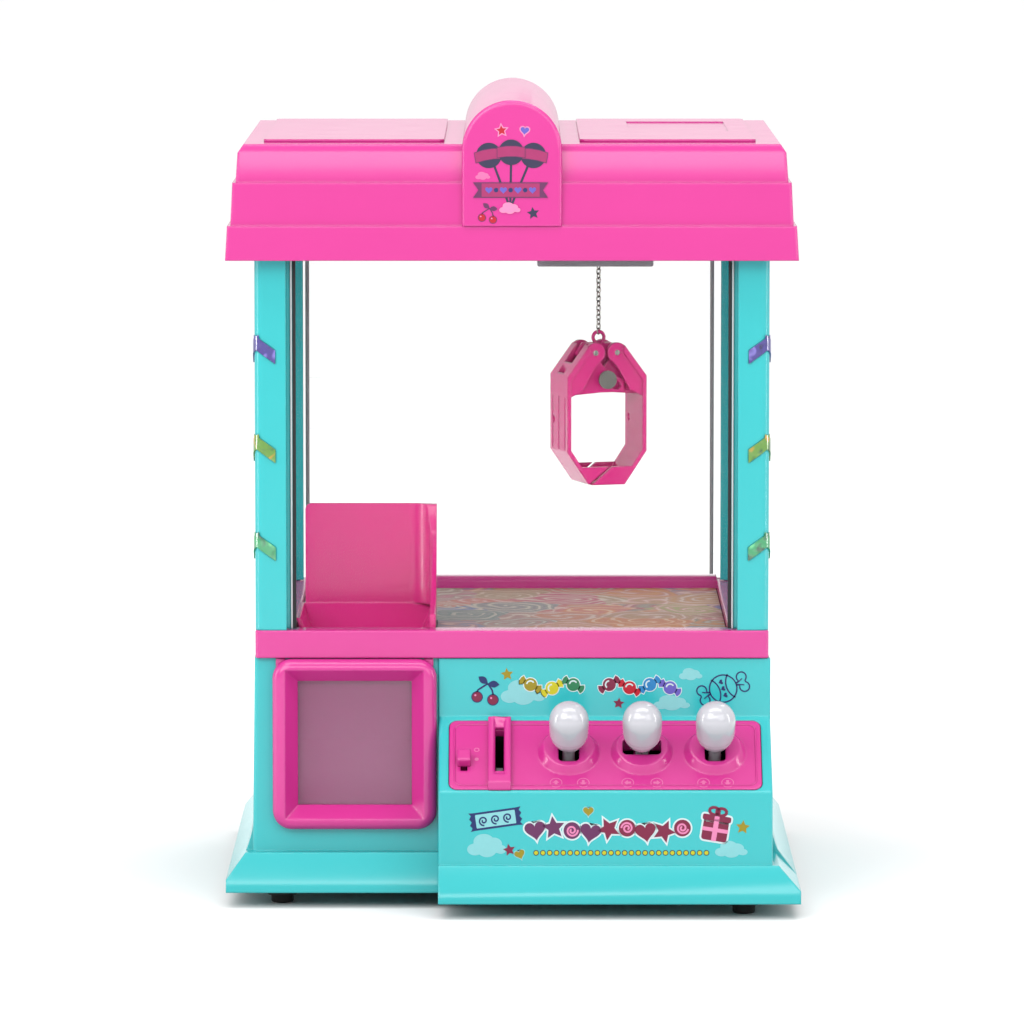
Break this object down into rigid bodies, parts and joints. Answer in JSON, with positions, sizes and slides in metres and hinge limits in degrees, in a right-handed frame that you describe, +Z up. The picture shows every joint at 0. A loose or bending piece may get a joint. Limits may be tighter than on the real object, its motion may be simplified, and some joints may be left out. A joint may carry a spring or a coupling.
{
  "type": "toy claw crane machine",
  "caption": "Tabletop toy claw crane: windowed cabinet with a three-axis gantry claw, tilting control levers, coin slot, prize chute and flap door under a stepped roof.",
  "frame": {"origin": "centre of the footprint on the surface that the feet stand on", "axes": "+X to the machine's right as a player sees it, +Y to the back, +Z up"},
  "size_m": [0.254, 0.2722, 0.3585],
  "materials": {
    "turquoise_plastic": "glossy moulded ABS, turquoise",
    "pink_plastic": "glossy moulded ABS, hot pink",
    "white_plastic": "glossy white plastic",
    "clear_plastic": "clear acrylic sheet",
    "smoked_plastic": "smoked clear flap",
    "violet_lens": "clear violet jewel",
    "lime_lens": "clear lime jewel",
    "green_lens": "clear green jewel",
    "black_rubber": "matt black rubber",
    "steel": "bright plated steel",
    "grey_plastic": "light grey plastic",
    "black_plastic": "black plastic",
    "printed_card": "printed play-floor sheet",
    "board": "green circuit board"
  },
  "bodies": {
    "machine": {"base_shell": "turquoise_plastic", "base_plate": "turquoise_plastic", "base_screws": "steel", "rubber_feet": "black_rubber", "console_housing": "turquoise_plastic", "control_panel": "pink_plastic", "lever_pins": "steel", "switch_blocks": "black_plastic", "coin_slot_bezel": "pink_plastic", "coin_chute": "black_plastic", "prize_door_bezel": "pink_plastic", "prize_bin": "pink_plastic", "prize_chute": "pink_plastic", "tray_frame": "pink_plastic", "play_floor": "printed_card", "violet_lenses": "violet_lens", "lime_lenses": "lime_lens", "green_lenses": "green_lens", "front_columns": "turquoise_plastic", "rear_columns": "turquoise_plastic", "front_window": "clear_plastic", "left_window": "clear_plastic", "right_window": "clear_plastic", "window_seals": "black_rubber", "glazing_beads": "white_plastic", "roof_shell": "pink_plastic", "roof_arch": "pink_plastic", "roof_panels": "pink_plastic", "top_frame": "pink_plastic", "gantry_rails": "grey_plastic", "battery_box": "black_plastic", "battery_cover": "turquoise_plastic", "battery_contacts": "steel", "control_board": "board", "speaker": "black_plastic"},
    "coin_flap": {"coin_flap": "white_plastic"},
    "lever_left": {"lever_left": "white_plastic"},
    "lever_middle": {"lever_middle": "white_plastic"},
    "lever_right": {"lever_right": "white_plastic"},
    "prize_door": {"prize_door": "smoked_plastic"},
    "rear_door": {"rear_door": "clear_plastic"},
    "bridge_pinion": {"bridge_pinion": "white_plastic"},
    "trolley_pinion": {"trolley_pinion": "white_plastic"},
    "hoist_drum": {"hoist_drum": "white_plastic"},
    "jaw_left": {"jaw_left": "pink_plastic"},
    "jaw_right": {"jaw_right": "pink_plastic"},
    "power_switch": {"power_switch_knob": "pink_plastic"},
    "bridge": {"bridge_trucks": "grey_plastic", "bridge_rods": "steel", "bridge_rack": "grey_plastic", "bridge_motor": "steel"},
    "trolley": {"trolley_housing": "grey_plastic", "trolley_carrier": "grey_plastic", "trolley_motors": "steel"},
    "hook": {"chain": "steel", "claw_puller": "pink_plastic", "claw_pin": "steel"},
    "claw_head": {"claw_head": "pink_plastic", "knuckle_pins": "steel"}
  },
  "joints": [
    {"name": "bridge_slide", "type": "slide", "parent": "machine", "child": "bridge", "axis": [0, 1, 0], "range_m": [-0.06, 0.06]},
    {"name": "trolley_slide", "type": "slide", "parent": "bridge", "child": "trolley", "axis": [1, 0, 0], "range_m": [-0.1, 0.022]},
    {"name": "hoist_slide", "type": "slide", "parent": "trolley", "child": "hook", "axis": [0, 0, -1], "range_m": [0, 0.053]},
    {"name": "grip_slide", "type": "slide", "parent": "hook", "child": "claw_head", "axis": [0, 0, 1], "range_m": [0, 0.006]},
    {"name": "jaw_left_hinge", "type": "hinge", "parent": "claw_head", "child": "jaw_left", "pos_m": [0.03456, 0.01494, 0.2387], "axis": [-0.309, 0.9511, 0], "range_deg": [0, 20.2]},
    {"name": "jaw_right_hinge", "type": "hinge", "parent": "claw_head", "child": "jaw_right", "pos_m": [0.04444, 0.01816, 0.2387], "axis": [0.309, -0.9511, 0], "range_deg": [0, 20.2]},
    {"name": "bridge_pinion_spin", "type": "hinge", "parent": "bridge", "child": "bridge_pinion", "pos_m": [0.0962, 0.01655, 0.296], "axis": [0, 0, 1], "range_deg": [-600, 600]},
    {"name": "trolley_pinion_spin", "type": "hinge", "parent": "trolley", "child": "trolley_pinion", "pos_m": [0.0358, 0.02955, 0.3], "axis": [0, 0, 1], "range_deg": [-960, 220]},
    {"name": "hoist_drum_spin", "type": "hinge", "parent": "trolley", "child": "hoist_drum", "pos_m": [0.0395, 0.00895, 0.2876], "axis": [1, 0, 0], "range_deg": [-510, 5]},
    {"name": "lever_left_tilt", "type": "hinge", "parent": "machine", "child": "lever_left", "pos_m": [0.0251, -0.10121, 0.06362], "axis": [1, 0, 0], "range_deg": [-14, 14], "stiffness_Nm_per_rad": 0.12, "springref_deg": -0.49},
    {"name": "lever_middle_tilt", "type": "hinge", "parent": "machine", "child": "lever_middle", "pos_m": [0.0574, -0.10121, 0.06362], "axis": [0, 0.7638, 0.6455], "range_deg": [-14, 14], "stiffness_Nm_per_rad": 0.12},
    {"name": "lever_right_tilt", "type": "hinge", "parent": "machine", "child": "lever_right", "pos_m": [0.0897, -0.10121, 0.06362], "axis": [1, 0, 0], "range_deg": [-14, 14], "stiffness_Nm_per_rad": 0.12, "springref_deg": -0.49},
    {"name": "power_switch_slide", "type": "slide", "parent": "machine", "child": "power_switch", "axis": [0, -0.7638, -0.6455], "range_m": [0, 0.004]},
    {"name": "coin_flap_hinge", "type": "hinge", "parent": "machine", "child": "coin_flap", "pos_m": [-0.0055, -0.10635, 0.05405], "axis": [-1, 0, 0], "range_deg": [0, 70], "stiffness_Nm_per_rad": 0.0002, "springref_deg": -22.92},
    {"name": "prize_door_hinge", "type": "hinge", "parent": "machine", "child": "prize_door", "pos_m": [-0.0699, -0.08595, 0.103], "axis": [1, 0, 0], "range_deg": [0, 70]},
    {"name": "rear_door_hinge", "type": "hinge", "parent": "machine", "child": "rear_door", "pos_m": [0.0972, 0.11695, 0.2], "axis": [0, 0, -1], "range_deg": [0, 100]}
  ],
  "couplings": [
    {"joint": "jaw_left_hinge", "follows": "grip_slide", "rad_per_m": 58.178},
    {"joint": "jaw_right_hinge", "follows": "grip_slide", "rad_per_m": 58.178},
    {"joint": "bridge_pinion_spin", "follows": "bridge_slide", "rad_per_m": -166.67},
    {"joint": "trolley_pinion_spin", "follows": "trolley_slide", "rad_per_m": 166.67},
    {"joint": "hoist_drum_spin", "follows": "hoist_slide", "rad_per_m": -166.67}
  ]
}
